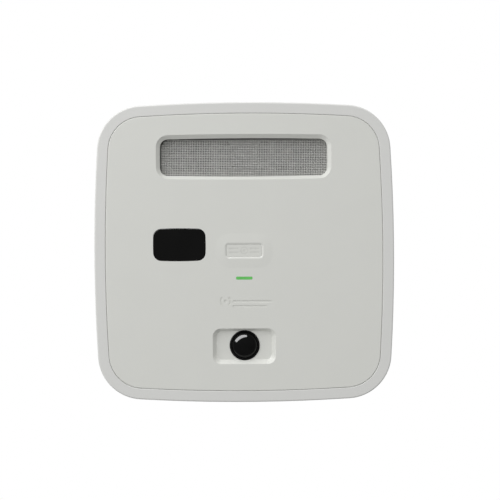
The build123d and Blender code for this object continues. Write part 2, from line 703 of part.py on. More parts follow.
led_light_pipe.part.label = "led_light_pipe"
export_step(led_light_pipe.part, "parts/led_light_pipe.step")

with BuildPart() as status_led:
    with BuildSketch(level(BOARD_FRONT)):
        with Locations(LAMP_CENTRE):
            Rectangle(*DIODE_SIZE)
    extrude(amount=DIODE_HEIGHT)
status_led.part.label = "status_led"
export_step(status_led.part, "parts/status_led.step")

# ---- Presence sensor: a domed lens in a ring, over a sensor can ----
LENS_WALL = 0.8
LENS_FLANGE_R = 8.0
LENS_FLANGE_BACK = 33.4
LENS_FLANGE_FRONT = POCKET_FLOOR - POCKET_FLOOR_THICK
LENS_RING_FRONT = 36.4
LENS_GAP = 0.02
RING_EDGE_R = 0.35
PIR_BASE_R = 4.6
PIR_BASE_THICK = 0.4
PIR_CAN_R = 4.1
PIR_CAN_HEIGHT = 4.0
PIR_EDGE_R = 0.4
PIR_WINDOW = (4.0, 3.0)
PIR_WINDOW_DEPTH = 0.3

LENS_INNER_R = LENS_R - LENS_WALL
LENS_INNER_CURVE_R = LENS_CURVE_R - LENS_WALL
LENS_CURVE_LEVEL = LENS_BASE_LEVEL - sqrt(LENS_CURVE_R**2 - LENS_R**2)
LENS_INNER_LEVEL = LENS_CURVE_LEVEL + sqrt(LENS_INNER_CURVE_R**2 - LENS_INNER_R**2)
OUTER_TURN = degrees(asin(LENS_R / LENS_CURVE_R))
INNER_TURN = degrees(asin(LENS_INNER_R / LENS_INNER_CURVE_R))

with BuildPart() as dome_lens:
    with BuildSketch(turning_plane(LENS_CENTRE)):
        with BuildLine():
            Line((LENS_INNER_R, -LENS_FLANGE_BACK), (LENS_FLANGE_R, -LENS_FLANGE_BACK))
            Line((LENS_FLANGE_R, -LENS_FLANGE_BACK), (LENS_FLANGE_R, -LENS_FLANGE_FRONT))
            Line((LENS_FLANGE_R, -LENS_FLANGE_FRONT), (LENS_R, -LENS_FLANGE_FRONT))
            Line((LENS_R, -LENS_FLANGE_FRONT), (LENS_R, -LENS_BASE_LEVEL))
            CenterArc((0, -LENS_CURVE_LEVEL), LENS_CURVE_R, OUTER_TURN - 90, -OUTER_TURN)
            Line((0, -LENS_CURVE_LEVEL - LENS_CURVE_R), (0, -LENS_CURVE_LEVEL - LENS_INNER_CURVE_R))
            CenterArc((0, -LENS_CURVE_LEVEL), LENS_INNER_CURVE_R, INNER_TURN - 90, -INNER_TURN)
            Line((LENS_INNER_R, -LENS_INNER_LEVEL), (LENS_INNER_R, -LENS_FLANGE_BACK))
        make_face()
    revolve(axis=turning_axis(LENS_CENTRE))
dome_lens.part.label = "dome_lens"
export_step(dome_lens.part, "parts/dome_lens.step")

with BuildPart() as lens_ring:
    with BuildSketch(level(LENS_FLANGE_FRONT)):
        with Locations(LENS_CENTRE):
            Circle(LENS_RING_R)
            Circle(LENS_R + LENS_GAP, mode=Mode.SUBTRACT)
    extrude(amount=LENS_RING_FRONT - LENS_FLANGE_FRONT)
    front_edges = lens_ring.faces().sort_by(Axis.Y)[0].edges()
    fillet(front_edges.sort_by(SortBy.LENGTH)[-1], RING_EDGE_R)
lens_ring.part.label = "lens_ring"
export_step(lens_ring.part, "parts/lens_ring.step")

with BuildPart() as pir_sensor:
    with BuildSketch(level(BOARD_FRONT)):
        with Locations(LENS_CENTRE):
            Circle(PIR_BASE_R)
    extrude(amount=PIR_BASE_THICK)
    with BuildSketch(level(BOARD_FRONT + PIR_BASE_THICK)):
        with Locations(LENS_CENTRE):
            Circle(PIR_CAN_R)
    extrude(amount=PIR_CAN_HEIGHT)
    fillet(pir_sensor.faces().sort_by(Axis.Y)[0].edges(), PIR_EDGE_R)
    with BuildSketch(level(BOARD_FRONT + PIR_BASE_THICK + PIR_CAN_HEIGHT)):
        with Locations(LENS_CENTRE):
            Rectangle(*PIR_WINDOW)
    extrude(amount=-PIR_WINDOW_DEPTH, mode=Mode.SUBTRACT)
pir_sensor.part.label = "pir_sensor"
export_step(pir_sensor.part, "parts/pir_sensor.step")

# ---- Battery door, its hinge pins, and what the compartment holds ----
DOOR_CORNER = 0.8
ARM_OVERLAP = 1.0
GRIP_Z = -24.5
GRIP_PITCH = 1.8
GRIP_COUNT = 4
GRIP_SLOT = (13.0, 0.9)
GRIP_DEPTH = 0.5

with BuildPart() as battery_door:
    with BuildSketch(level(RECESS_FLOOR)):
        with Locations((0, (DOOR_BOTTOM + DOOR_TOP) / 2)):
            RectangleRounded(2 * DOOR_HALF_WIDTH, DOOR_TOP - DOOR_BOTTOM, DOOR_CORNER)
    extrude(amount=DOOR_THICK)
    for start, end in KNUCKLE_RANGES:
        with BuildSketch(Plane.YZ.offset(start)):
            with Locations((-HINGE_LEVEL, HINGE_Z)):
                Circle(KNUCKLE_R)
            arm_z = (DOOR_TOP - ARM_OVERLAP + HINGE_Z) / 2
            with Locations((-RECESS_FLOOR - DOOR_THICK / 2, arm_z)):
                Rectangle(DOOR_THICK, HINGE_Z - DOOR_TOP + ARM_OVERLAP)
            with Locations((-HINGE_LEVEL, HINGE_Z)):
                Circle(PIN_R + PIN_CLEARANCE, mode=Mode.SUBTRACT)
        extrude(amount=end - start)
    # Finger grip grooves near the free end.
    with BuildSketch(level(RECESS_FLOOR)):
        with Locations((0, GRIP_Z)):
            with GridLocations(1, GRIP_PITCH, 1, GRIP_COUNT):
                SlotOverall(*GRIP_SLOT)
    extrude(amount=GRIP_DEPTH, mode=Mode.SUBTRACT)
battery_door.part.label = "battery_door"
export_step(battery_door.part, "parts/battery_door.step")

with BuildPart() as door_hinge_pins:
    for start, end in ((EAR_RANGES[0][0], EAR_RANGES[1][1]), (EAR_RANGES[2][0], EAR_RANGES[3][1])):
        with BuildSketch(Plane.YZ.offset(start)):
            with Locations((-HINGE_LEVEL, HINGE_Z)):
                Circle(PIN_R)
        extrude(amount=end - start)
door_hinge_pins.part.label = "door_hinge_pins"
export_step(door_hinge_pins.part, "parts/door_hinge_pins.step")

CELL_NAMES = ("left", "middle", "right")
CONTACT_BUMP = 1.0
CONTACT_BUMP_R = 2.2
CELL_EDGE_R = 0.6
TERMINAL_R = 2.7
TERMINAL_LENGTH = 1.1
SPRING_TURNS = 3
SPRING_WIRE_R = 0.35
SPRING_R = 3.3

for number, side in enumerate(CELL_NAMES):
    across = (number - 1) * CELL_PITCH
    up = 1 if number % 2 == 0 else -1  # the end that carries the positive terminal
    terminal_end = up * (BAY_HALF_LENGTH - CONTACT_THICK - CONTACT_BUMP)
    shoulder = terminal_end - up * TERMINAL_LENGTH
    far_end = terminal_end - up * CELL_LENGTH
    with BuildPart() as battery:
        with BuildSketch(Plane.XY.offset(far_end)):
            with Locations((across, -CELL_LEVEL)):
                Circle(CELL_R)
        extrude(amount=shoulder - far_end)
        fillet(battery.edges().filter_by(GeomType.CIRCLE), CELL_EDGE_R)
        with BuildSketch(Plane.XY.offset(shoulder)):
            with Locations((across, -CELL_LEVEL)):
                Circle(TERMINAL_R)
        extrude(amount=terminal_end - shoulder)
    battery.part.label = f"battery_{side}"
    export_step(battery.part, f"parts/battery_{side}.step")

    spring_length = BAY_HALF_LENGTH - CONTACT_THICK - abs(far_end) - 2 * SPRING_WIRE_R
    spring_base = (across, -CELL_LEVEL, -up * (BAY_HALF_LENGTH - CONTACT_THICK - SPRING_WIRE_R))
    with BuildPart() as battery_spring:
        with BuildLine() as coil:
            Helix(
                pitch=spring_length / SPRING_TURNS,
                height=spring_length,
                radius=SPRING_R,
                center=spring_base,
                direction=(0, 0, up),
            )
        with BuildSketch(Plane(origin=coil.line @ 0, z_dir=coil.line % 0)):
            Circle(SPRING_WIRE_R)
        sweep(path=coil.line, is_frenet=True)
    battery_spring.part.label = f"battery_spring_{side}"
    export_step(battery_spring.part, f"parts/battery_spring_{side}.step")

PLATE_HEIGHT = 10.0
# Name, middle, end of the bay, width, where its bump is, and whether it has a tab to the board.
CONTACT_PLATES = (
    ("positive_end", -CELL_PITCH, 1, 9.0, (-CELL_PITCH,), True),
    ("lower_link", -CELL_PITCH / 2, -1, 24.0, (0.0,), False),
    ("upper_link", CELL_PITCH / 2, 1, 24.0, (CELL_PITCH,), False),
    ("negative_end", CELL_PITCH, -1, 9.0, (), True),
)

for title, middle, up, width, bumps, has_tab in CONTACT_PLATES:
    wall = up * BAY_HALF_LENGTH
    with BuildPart() as contact:
        with BuildSketch(Plane.XY.offset(wall)):
            with Locations((middle, -CELL_LEVEL)):
                Rectangle(width, PLATE_HEIGHT)
        extrude(amount=-up * CONTACT_THICK)
        if bumps:
            with BuildSketch(Plane.XY.offset(wall - up * CONTACT_THICK)):
                for across in bumps:
                    with Locations((across, -CELL_LEVEL)):
                        Circle(CONTACT_BUMP_R)
            extrude(amount=-up * CONTACT_BUMP)
        if has_tab:
            with BuildSketch(Plane.XY.offset(wall)):
                with Locations((middle, -(CELL_LEVEL + TAB_FRONT) / 2)):
                    Rectangle(TAB_WIDTH, TAB_FRONT - CELL_LEVEL)
            extrude(amount=-up * CONTACT_THICK)
    contact.part.label = f"battery_contact_{title}"
    export_step(contact.part, f"parts/battery_contact_{title}.step")

# ---- Main board and what it carries ----
BOARD_HALF_WIDTH = 56.0
BOARD_TOP = 28.0
BOARD_SHOULDER = -40.0
BOARD_FOOT = -57.0
FOOT_HALF_WIDTH = 43.0
BOARD_CORNER = 1.5
BOARD_HOLE_R = 1.3

with BuildPart() as main_board:
    with BuildSketch(level(BOARD_BACK)) as board_shape:
        with BuildLine():
            Polyline(
                (-BOARD_HALF_WIDTH, BOARD_TOP),
                (BOARD_HALF_WIDTH, BOARD_TOP),
                (BOARD_HALF_WIDTH, BOARD_SHOULDER),
                (FOOT_HALF_WIDTH, BOARD_SHOULDER),
                (FOOT_HALF_WIDTH, BOARD_FOOT),
                (-FOOT_HALF_WIDTH, BOARD_FOOT),
                (-FOOT_HALF_WIDTH, BOARD_SHOULDER),
                (-BOARD_HALF_WIDTH, BOARD_SHOULDER),
                close=True,
            )
        make_face()
        fillet(board_shape.vertices(), BOARD_CORNER)
        with Locations(*BOARD_POSTS):
            Circle(BOARD_HOLE_R, mode=Mode.SUBTRACT)
        with Locations(*TAB_CENTRES):
            Rectangle(*TAB_SLOT, mode=Mode.SUBTRACT)
    extrude(amount=BOARD_THICK)
main_board.part.label = "main_board"
export_step(main_board.part, "parts/main_board.step")

PACKAGE_CHAMFER = 0.2
# Simple packages: name, centre, size across and up, height, corner radius.
PACKAGES = (
    ("display_module", WINDOW_CENTRE, (22.0, 13.0), 5.0, 0.6),
    ("control_chip", (-20.0, -20.0), (12.0, 12.0), 1.6, 0.3),
    ("wireless_module", (28.0, -22.0), (18.0, 25.0), 3.1, 0.5),
    ("speaker_connector", (-34.0, 23.5), (9.0, 5.0), 4.8, 0.4),
    ("siren_connector", (34.0, 23.5), (9.0, 5.0), 4.8, 0.4),
)

for title, centre, size, height, corner in PACKAGES:
    with BuildPart() as package:
        with BuildSketch(level(BOARD_FRONT)):
            with Locations(centre):
                RectangleRounded(*size, corner)
        extrude(amount=height)
        chamfer(package.faces().sort_by(Axis.Y)[0].edges(), PACKAGE_CHAMFER)
    package.part.label = title
    export_step(package.part, f"parts/{title}.step")

CAPACITOR_R = 3.15
CAPACITOR_HEIGHT = 5.8
CAPACITOR_EDGE_R = 0.4
CAPACITORS = (("capacitor_upper", (20.0, 14.0)), ("capacitor_lower", (28.0, 14.0)))

for title, centre in CAPACITORS:
    with BuildPart() as capacitor:
        with BuildSketch(level(BOARD_FRONT)):
            with Locations(centre):
                Circle(CAPACITOR_R)
        extrude(amount=CAPACITOR_HEIGHT)
        fillet(capacitor.faces().sort_by(Axis.Y)[0].edges(), CAPACITOR_EDGE_R)
    capacitor.part.label = title
    export_step(capacitor.part, f"parts/{title}.step")

SWITCH_WIDTH = 6.2
SWITCH_CORNER = 0.4
SWITCH_HEIGHT = 3.5
SWITCH_BORE_R = 1.85
SWITCH_SPARE = 0.3  # room left behind the plunger at the end of the press
SWITCH_BORE_BACK = PLUNGER_BACK - BUTTON_TRAVEL - SWITCH_SPARE
PLUNGER_R = 1.75

with BuildPart() as tact_switch:
    with BuildSketch(level(BOARD_FRONT)):
        with Locations(BUTTON_CENTRE):
            RectangleRounded(SWITCH_WIDTH, SWITCH_WIDTH, SWITCH_CORNER)
    extrude(amount=SWITCH_HEIGHT)
    with BuildSketch(level(SWITCH_BORE_BACK)):
        with Locations(BUTTON_CENTRE):
            Circle(SWITCH_BORE_R)
    extrude(amount=BOARD_FRONT + SWITCH_HEIGHT - SWITCH_BORE_BACK, mode=Mode.SUBTRACT)
tact_switch.part.label = "tact_switch"
export_step(tact_switch.part, "parts/tact_switch.step")

with BuildPart() as switch_plunger:
    with BuildSketch(level(PLUNGER_BACK)):
        with Locations(BUTTON_CENTRE):
            Circle(PLUNGER_R)
    extrude(amount=PLUNGER_FRONT - PLUNGER_BACK)
switch_plunger.part.label = "switch_plunger"
export_step(switch_plunger.part, "parts/switch_plunger.step")

# ---- Gas sensor: a sealed cell behind the board, with a filter cap ----
SENSOR_R = 10.0
SENSOR_LENGTH = 14.0
SENSOR_BACK = BOARD_BACK - SENSOR_LENGTH
SENSOR_EDGE_R = 1.0
FILTER_R = 5.5
FILTER_THICK = 2.0
FILTER_HOLE_R = 0.8
FILTER_HOLE_CIRCLE_R = 3.0
FILTER_HOLE_COUNT = 6
FILTER_HOLE_DEPTH = 1.4

with BuildPart() as co_sensor_cell:
    with BuildSketch(level(SENSOR_BACK)):
        with Locations(SENSOR_CENTRE):
            Circle(SENSOR_R)
    extrude(amount=SENSOR_LENGTH)
    fillet(co_sensor_cell.faces().sort_by(Axis.Y)[-1].edges(), SENSOR_EDGE_R)
co_sensor_cell.part.label = "co_sensor_cell"
export_step(co_sensor_cell.part, "parts/co_sensor_cell.step")

with BuildPart() as co_sensor_filter:
    with BuildSketch(level(SENSOR_BACK - FILTER_THICK)):
        with Locations(SENSOR_CENTRE):
            Circle(FILTER_R)
    extrude(amount=FILTER_THICK)
    with BuildSketch(level(SENSOR_BACK - FILTER_THICK)):
        with Locations(SENSOR_CENTRE):
            Circle(FILTER_HOLE_R)
            with PolarLocations(FILTER_HOLE_CIRCLE_R, FILTER_HOLE_COUNT):
                Circle(FILTER_HOLE_R)
    extrude(amount=FILTER_HOLE_DEPTH, mode=Mode.SUBTRACT)
co_sensor_filter.part.label = "co_sensor_filter"
export_step(co_sensor_filter.part, "parts/co_sensor_filter.step")

# ---- Voice speaker: basket, magnet, moving cone and coil, and a gasket ----
BASKET_R = 13.2
BASKET_WALL = 0.8
BASKET_BACK = 23.6
BASKET_RIM = 31.0
RIM_THICK = 1.2
BASKET_BORE_R = 4.7
BASKET_VENT_R = 1.6
BASKET_VENT_CIRCLE_R = 9.2
BASKET_VENT_COUNT = 4
MAGNET_R = 7.4
MAGNET_BACK = 19.4
MAGNET_PLATE = 1.0
MAGNET_BORE_R = 4.4
POLE_R = 3.2
COIL_INNER_R = 3.5
COIL_OUTER_R = 4.1
COIL_BACK = 21.6
COIL_FRONT = 26.0
CONE_PROFILE = (  # radius and height of each corner
    (0.0, COIL_FRONT),
    (COIL_OUTER_R, COIL_FRONT),
    (10.0, 29.4),
    (11.8, 29.4),
    (11.8, 29.8),
    (9.8, 29.8),
    (COIL_OUTER_R, 26.6),
    (0.0, 27.6),
)

with BuildPart() as speaker_frame:
    with BuildSketch(level(BASKET_BACK)):
        with Locations(SPEAKER_CENTRE):
            Circle(BASKET_R)
    extrude(amount=BASKET_RIM - BASKET_BACK)
    with BuildSketch(level(BASKET_RIM - RIM_THICK)):
        with Locations(SPEAKER_CENTRE):
            Circle(BASKET_R + BASKET_WALL)
    extrude(amount=RIM_THICK)
    with BuildSketch(level(BASKET_BACK + BASKET_WALL)):
        with Locations(SPEAKER_CENTRE):
            Circle(BASKET_R - BASKET_WALL)
    extrude(amount=BASKET_RIM - BASKET_BACK - BASKET_WALL, mode=Mode.SUBTRACT)
    with BuildSketch(level(BASKET_BACK)):
        with Locations(SPEAKER_CENTRE):
            Circle(BASKET_BORE_R)
            with PolarLocations(BASKET_VENT_CIRCLE_R, BASKET_VENT_COUNT):
                Circle(BASKET_VENT_R)
    extrude(amount=BASKET_WALL, mode=Mode.SUBTRACT)
speaker_frame.part.label = "speaker_frame"
export_step(speaker_frame.part, "parts/speaker_frame.step")

with BuildPart() as speaker_magnet:
    with BuildSketch(level(MAGNET_BACK)):
        with Locations(SPEAKER_CENTRE):
            Circle(MAGNET_R)
    extrude(amount=BASKET_BACK - MAGNET_BACK)
    with BuildSketch(level(MAGNET_BACK + MAGNET_PLATE)):
        with Locations(SPEAKER_CENTRE):
            Circle(MAGNET_BORE_R)
            Circle(POLE_R, mode=Mode.SUBTRACT)
    extrude(amount=BASKET_BACK - MAGNET_BACK - MAGNET_PLATE, mode=Mode.SUBTRACT)
speaker_magnet.part.label = "speaker_magnet"
export_step(speaker_magnet.part, "parts/speaker_magnet.step")

with BuildPart() as speaker_cone:
    with BuildSketch(turning_plane(SPEAKER_CENTRE)):
        with BuildLine():
            Polyline(*[(radius, -height) for radius, height in CONE_PROFILE], close=True)
        make_face()
    revolve(axis=turning_axis(SPEAKER_CENTRE))
speaker_cone.part.label = "speaker_cone"
export_step(speaker_cone.part, "parts/speaker_cone.step")

with BuildPart() as voice_coil:
    with BuildSketch(level(COIL_BACK)):
        with Locations(SPEAKER_CENTRE):
            Circle(COIL_OUTER_R)
            Circle(COIL_INNER_R, mode=Mode.SUBTRACT)
    extrude(amount=COIL_FRONT - COIL_BACK)
voice_coil.part.label = "voice_coil"
export_step(voice_coil.part, "parts/voice_coil.step")

with BuildPart() as speaker_gasket:
    with BuildSketch(level(BASKET_RIM)):
        with Locations(SPEAKER_CENTRE):
            Circle(BASKET_R + BASKET_WALL)
            Circle(BASKET_R - BASKET_WALL, mode=Mode.SUBTRACT)
    extrude(amount=CARRIER_BACK - BASKET_RIM)
speaker_gasket.part.label = "speaker_gasket"
export_step(speaker_gasket.part, "parts/speaker_gasket.step")

# ---- Siren: a sounder disc in a resonator housing ----
SIREN_BACK = 20.0
SIREN_FRONT = 31.8
SIREN_WALL = 1.2
SIREN_PORT_R = 3.0
SIREN_STEP_R = 11.1
SIREN_STEP_BACK = 24.5
SIREN_STEP_THICK = 1.5
DISC_BACK = 24.0
DISC_R = 12.2
DISC_THICK = 0.3
CERAMIC_R = 8.5
CERAMIC_THICK = 0.2

with BuildPart() as siren_housing:
    with BuildSketch(level(SIREN_BACK)):
        with Locations(SIREN_CENTRE):
            Circle(SIREN_R)
    extrude(amount=SIREN_FRONT - SIREN_BACK)
    with BuildSketch(level(SIREN_BACK)):
        with Locations(SIREN_CENTRE):
            Circle(SIREN_R - SIREN_WALL)
    extrude(amount=SIREN_FRONT - SIREN_BACK - SIREN_WALL, mode=Mode.SUBTRACT)
    with BuildSketch(level(SIREN_STEP_BACK)):
        with Locations(SIREN_CENTRE):
            Circle(SIREN_R - SIREN_WALL)
            Circle(SIREN_STEP_R, mode=Mode.SUBTRACT)
    extrude(amount=SIREN_STEP_THICK)
    with BuildSketch(level(SIREN_FRONT - SIREN_WALL)):
        with Locations(SIREN_CENTRE):
            Circle(SIREN_PORT_R)
    extrude(amount=SIREN_WALL, mode=Mode.SUBTRACT)
siren_housing.part.label = "siren_housing"
export_step(siren_housing.part, "parts/siren_housing.step")

with BuildPart() as siren_disc:
    with BuildSketch(level(DISC_BACK)):
        with Locations(SIREN_CENTRE):
            Circle(DISC_R)
    extrude(amount=DISC_THICK)
    with BuildSketch(level(DISC_BACK + DISC_THICK)):
        with Locations(SIREN_CENTRE):
            Circle(CERAMIC_R)
    extrude(amount=CERAMIC_THICK)
siren_disc.part.label = "siren_disc"
export_step(siren_disc.part, "parts/siren_disc.step")

# ---- Leads from the speaker and the siren to their connectors on the board ----
LEAD_R = 0.45
LEAD_PITCH = 1.8
LEAD_BEND = 1.6
LEAD_STEP = 1.4  # how far one lead runs above the other
LEAD_ACROSS = 34.0
LEAD_BACK = 25.4
LEAD_FRONT = 31.0
LEAD_START_Z = 36.2
LEAD_TURN_Z = 33.6
LEAD_DROP_Z = 30.4
CONNECTOR_MOUTH = 26.0

for title, side, reach in (("speaker_leads", -1, 31.6), ("siren_leads", 1, 32.4)):
    with BuildPart() as leads:
        for number in (-0.5, 0.5):
            across = side * (LEAD_ACROSS + number * LEAD_PITCH)
            start_x = side * (reach + number * LEAD_PITCH)
            with BuildLine() as route:
                FilletPolyline(
                    (start_x, -LEAD_BACK, LEAD_START_Z + LEAD_STEP * number),
                    (across, -LEAD_BACK, LEAD_TURN_Z + LEAD_STEP * number),
                    (across, -LEAD_FRONT, LEAD_DROP_Z),
                    (across, -LEAD_FRONT, CONNECTOR_MOUTH),
                    radius=LEAD_BEND,
                )
            with BuildSketch(Plane(origin=route.line @ 0, z_dir=route.line % 0)):
                Circle(LEAD_R)
            sweep(path=route.line)
    leads.part.label = title
    export_step(leads.part, f"parts/{title}.step")

# ---- Screws: four hold the case together and four hold the board ----
CASE_HEAD_R = 2.9
CASE_HEAD_THICK = 2.2
CASE_HEAD_EDGE_R = 0.6
CASE_SCREW_LENGTH = 18.0
CASE_CROSS = (3.0, 0.7)
CASE_CROSS_DEPTH = 1.2
BOARD_HEAD_R = 2.1
BOARD_HEAD_THICK = 1.4
BOARD_HEAD_EDGE_R = 0.4
BOARD_SCREW_LENGTH = 8.0
BOARD_CROSS = (2.2, 0.5)
BOARD_CROSS_DEPTH = 0.8

with BuildPart() as housing_screws:
    with BuildSketch(level(CASE_SCREW_SEAT)):
        with Locations(*POST_CENTRES):
            Circle(CASE_HEAD_R)
    extrude(amount=-CASE_HEAD_THICK)
    fillet(housing_screws.faces().group_by(Axis.Y)[-1].edges(), CASE_HEAD_EDGE_R)
    with BuildSketch(level(CASE_SCREW_SEAT)):
        with Locations(*POST_CENTRES):
            Circle(CASE_SCREW_R)
    extrude(amount=CASE_SCREW_LENGTH)
    with BuildSketch(level(CASE_SCREW_SEAT - CASE_HEAD_THICK)):
        with Locations(*POST_CENTRES):
            Rectangle(*CASE_CROSS)
            Rectangle(*CASE_CROSS, rotation=90)
    extrude(amount=CASE_CROSS_DEPTH, mode=Mode.SUBTRACT)
housing_screws.part.label = "housing_screws"
export_step(housing_screws.part, "parts/housing_screws.step")

with BuildPart() as board_screws:
    with BuildSketch(level(BOARD_FRONT)):
        with Locations(*BOARD_POSTS):
            Circle(BOARD_HEAD_R)
    extrude(amount=BOARD_HEAD_THICK)
    fillet(board_screws.faces().group_by(Axis.Y)[0].edges(), BOARD_HEAD_EDGE_R)
    with BuildSketch(level(BOARD_FRONT)):
        with Locations(*BOARD_POSTS):
            Circle(BOARD_SCREW_R)
    extrude(amount=-BOARD_SCREW_LENGTH)
    with BuildSketch(level(BOARD_FRONT + BOARD_HEAD_THICK)):
        with Locations(*BOARD_POSTS):
            Rectangle(*BOARD_CROSS)
            Rectangle(*BOARD_CROSS, rotation=90)
    extrude(amount=-BOARD_CROSS_DEPTH, mode=Mode.SUBTRACT)
board_screws.part.label = "board_screws"
export_step(board_screws.part, "parts/board_screws.step")
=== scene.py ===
"""Looks of a square wall-mounted carbon monoxide detector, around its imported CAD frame."""
import math

import bpy
from mathutils import Matrix, Vector


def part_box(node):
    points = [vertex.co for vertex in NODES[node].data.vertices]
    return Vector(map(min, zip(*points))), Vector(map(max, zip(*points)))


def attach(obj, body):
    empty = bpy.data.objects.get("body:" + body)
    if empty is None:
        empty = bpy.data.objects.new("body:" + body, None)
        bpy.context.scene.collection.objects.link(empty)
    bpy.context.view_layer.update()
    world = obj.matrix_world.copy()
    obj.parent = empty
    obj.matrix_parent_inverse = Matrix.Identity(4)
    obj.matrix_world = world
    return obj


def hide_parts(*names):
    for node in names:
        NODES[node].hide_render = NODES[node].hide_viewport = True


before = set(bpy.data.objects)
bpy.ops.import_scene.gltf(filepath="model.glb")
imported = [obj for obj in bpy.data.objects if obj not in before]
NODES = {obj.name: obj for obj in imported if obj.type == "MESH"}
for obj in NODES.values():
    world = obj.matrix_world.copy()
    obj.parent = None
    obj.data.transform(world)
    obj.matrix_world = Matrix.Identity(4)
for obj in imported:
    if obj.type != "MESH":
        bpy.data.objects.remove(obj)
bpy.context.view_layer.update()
MM = 0.001


# ---- Materials: every length is in metres, in the part's own frame ----
def add_node(tree, kind, **values):
    """Adds a shader node and sets its inputs or its properties by name."""
    node = tree.nodes.new(kind)
    for key, value in values.items():
        if hasattr(node, key):
            setattr(node, key, value)
        else:
            node.inputs[key.replace("_", " ")].default_value = value
    return node


def noise(tree, size, detail=2.0, stretch=(1, 1, 1)):
    """Noise output whose patches are about size across, stretched along some axes."""
    place = add_node(tree, "ShaderNodeTexCoord")
    scale = add_node(tree, "ShaderNodeMapping")
    scale.inputs["Scale"].default_value = [1 / (size * s) for s in stretch]
    texture = add_node(tree, "ShaderNodeTexNoise", Scale=1.0, Detail=detail, Roughness=0.55)
    tree.links.new(place.outputs["Object"], scale.inputs["Vector"])
    tree.links.new(scale.outputs["Vector"], texture.inputs["Vector"])
    return texture.outputs["Fac"]


def spread(tree, source, low, high):
    """Maps a 0.3 to 0.7 signal, as noise gives, to low to high."""
    ramp = add_node(tree, "ShaderNodeMapRange")
    ramp.inputs["From Min"].default_value = 0.3
    ramp.inputs["From Max"].default_value = 0.7
    ramp.inputs["To Min"].default_value = low
    ramp.inputs["To Max"].default_value = high
    tree.links.new(source, ramp.inputs["Value"])
    return ramp.outputs["Result"]


def mix_colours(tree, factor, first, second):
    """Colour between two colours or colour outputs, by a factor output."""
    mix = tree.nodes.new("ShaderNodeMix")
    mix.data_type = "RGBA"
    tree.links.new(factor, mix.inputs["Factor"])
    for socket, colour in ((mix.inputs[6], first), (mix.inputs[7], second)):
        if isinstance(colour, bpy.types.NodeSocket):
            tree.links.new(colour, socket)
        else:
            socket.default_value = (*colour, 1.0)
    return mix.outputs[2]


def relief(tree, shader, height, distance):
    """Puts a height output on the shader as bump of that distance."""
    bump = add_node(tree, "ShaderNodeBump", Distance=distance)
    tree.links.new(height, bump.inputs["Height"])
    tree.links.new(bump.outputs["Normal"], shader.inputs["Normal"])


def shaded(colour, share):
    """A colour made lighter or darker by a share of itself."""
    return [min(1.0, max(0.0, c * (1 + share))) for c in colour]


def finish(name, colour, roughness, shade=0.03, patch=6 * MM, grain=0.3 * MM, depth=0.01 * MM,
           rough_spread=0.05, stretch=(1, 1, 1), **sockets):
    """Material with colour mottling, uneven roughness and fine relief at their real scales.

    The colour varies by shade over patches, and the roughness and the relief over grains.
    """
    material = bpy.data.materials.new(name)
    material.use_nodes = True
    tree = material.node_tree
    shader = tree.nodes["Principled BSDF"]
    mottle = noise(tree, patch, 3.0, stretch)
    fine = noise(tree, grain, 2.0, stretch)
    dark, pale = shaded(colour, -shade), shaded(colour, shade)
    tone = mix_colours(tree, spread(tree, mottle, 0, 1), dark, pale)
    tree.links.new(tone, shader.inputs["Base Color"])
    rough = spread(tree, fine, roughness - rough_spread, roughness + rough_spread)
    tree.links.new(rough, shader.inputs["Roughness"])
    relief(tree, shader, fine, depth)
    for key, value in sockets.items():
        shader.inputs[key.replace("_", " ")].default_value = value
    return material


BAND_START = 10.0 * MM  # from the middle of the battery compartment
BAND_EDGE = 0.2 * MM
WRAP_BLUE = (0.02, 0.05, 0.09)
BAND_COPPER = (0.46, 0.19, 0.07)


def battery_wrap(name, up):
    """Printed film: dark, with a copper band at the positive end, which is up (1) or down (-1)."""
    material = finish(name, WRAP_BLUE, 0.28, shade=0.08, patch=3 * MM, grain=0.2 * MM)
    tree = material.node_tree
    shader = tree.nodes["Principled BSDF"]
    place = add_node(tree, "ShaderNodeTexCoord")
    parts = add_node(tree, "ShaderNodeSeparateXYZ")
    tree.links.new(place.outputs["Object"], parts.inputs["Vector"])
    reach = add_node(tree, "ShaderNodeMath", operation="MULTIPLY")
    reach.inputs[1].default_value = up
    tree.links.new(parts.outputs["Z"], reach.inputs[0])
    band = add_node(tree, "ShaderNodeMapRange")
    band.inputs["From Min"].default_value = BAND_START
    band.inputs["From Max"].default_value = BAND_START + BAND_EDGE
    tree.links.new(reach.outputs[0], band.inputs["Value"])
    tone = shader.inputs["Base Color"].links[0].from_socket
    banded = mix_colours(tree, band.outputs["Result"], tone, BAND_COPPER)
    tree.links.new(banded, shader.inputs["Base Color"])
    return material


MASK_GREEN = (0.012, 0.10, 0.035)
TRACK_GREEN = (0.03, 0.20, 0.07)
TRACK_SCALE = 260.0  # bricks of the track pattern to a metre
TRACK_HEIGHT = 0.03 * MM


def circuit_board():
    """Green solder mask over a grid of raised copper tracks."""
    material = finish("circuit_board", MASK_GREEN, 0.32, shade=0.12, patch=9 * MM, grain=0.35 * MM)
    tree = material.node_tree
    shader = tree.nodes["Principled BSDF"]
    place = add_node(tree, "ShaderNodeTexCoord")
    turned = add_node(tree, "ShaderNodeMapping")
    turned.inputs["Rotation"].default_value = (math.radians(90), 0, 0)
    tracks = add_node(
        tree, "ShaderNodeTexBrick", Scale=TRACK_SCALE, Mortar_Size=0.03, Mortar_Smooth=0.2
    )
    tree.links.new(place.outputs["Object"], turned.inputs["Vector"])
    tree.links.new(turned.outputs["Vector"], tracks.inputs["Vector"])
    tone = shader.inputs["Base Color"].links[0].from_socket
    tracked = mix_colours(tree, tracks.outputs["Fac"], tone, TRACK_GREEN)
    tree.links.new(tracked, shader.inputs["Base Color"])
    relief(tree, shader, tracks.outputs["Fac"], TRACK_HEIGHT)
    return material


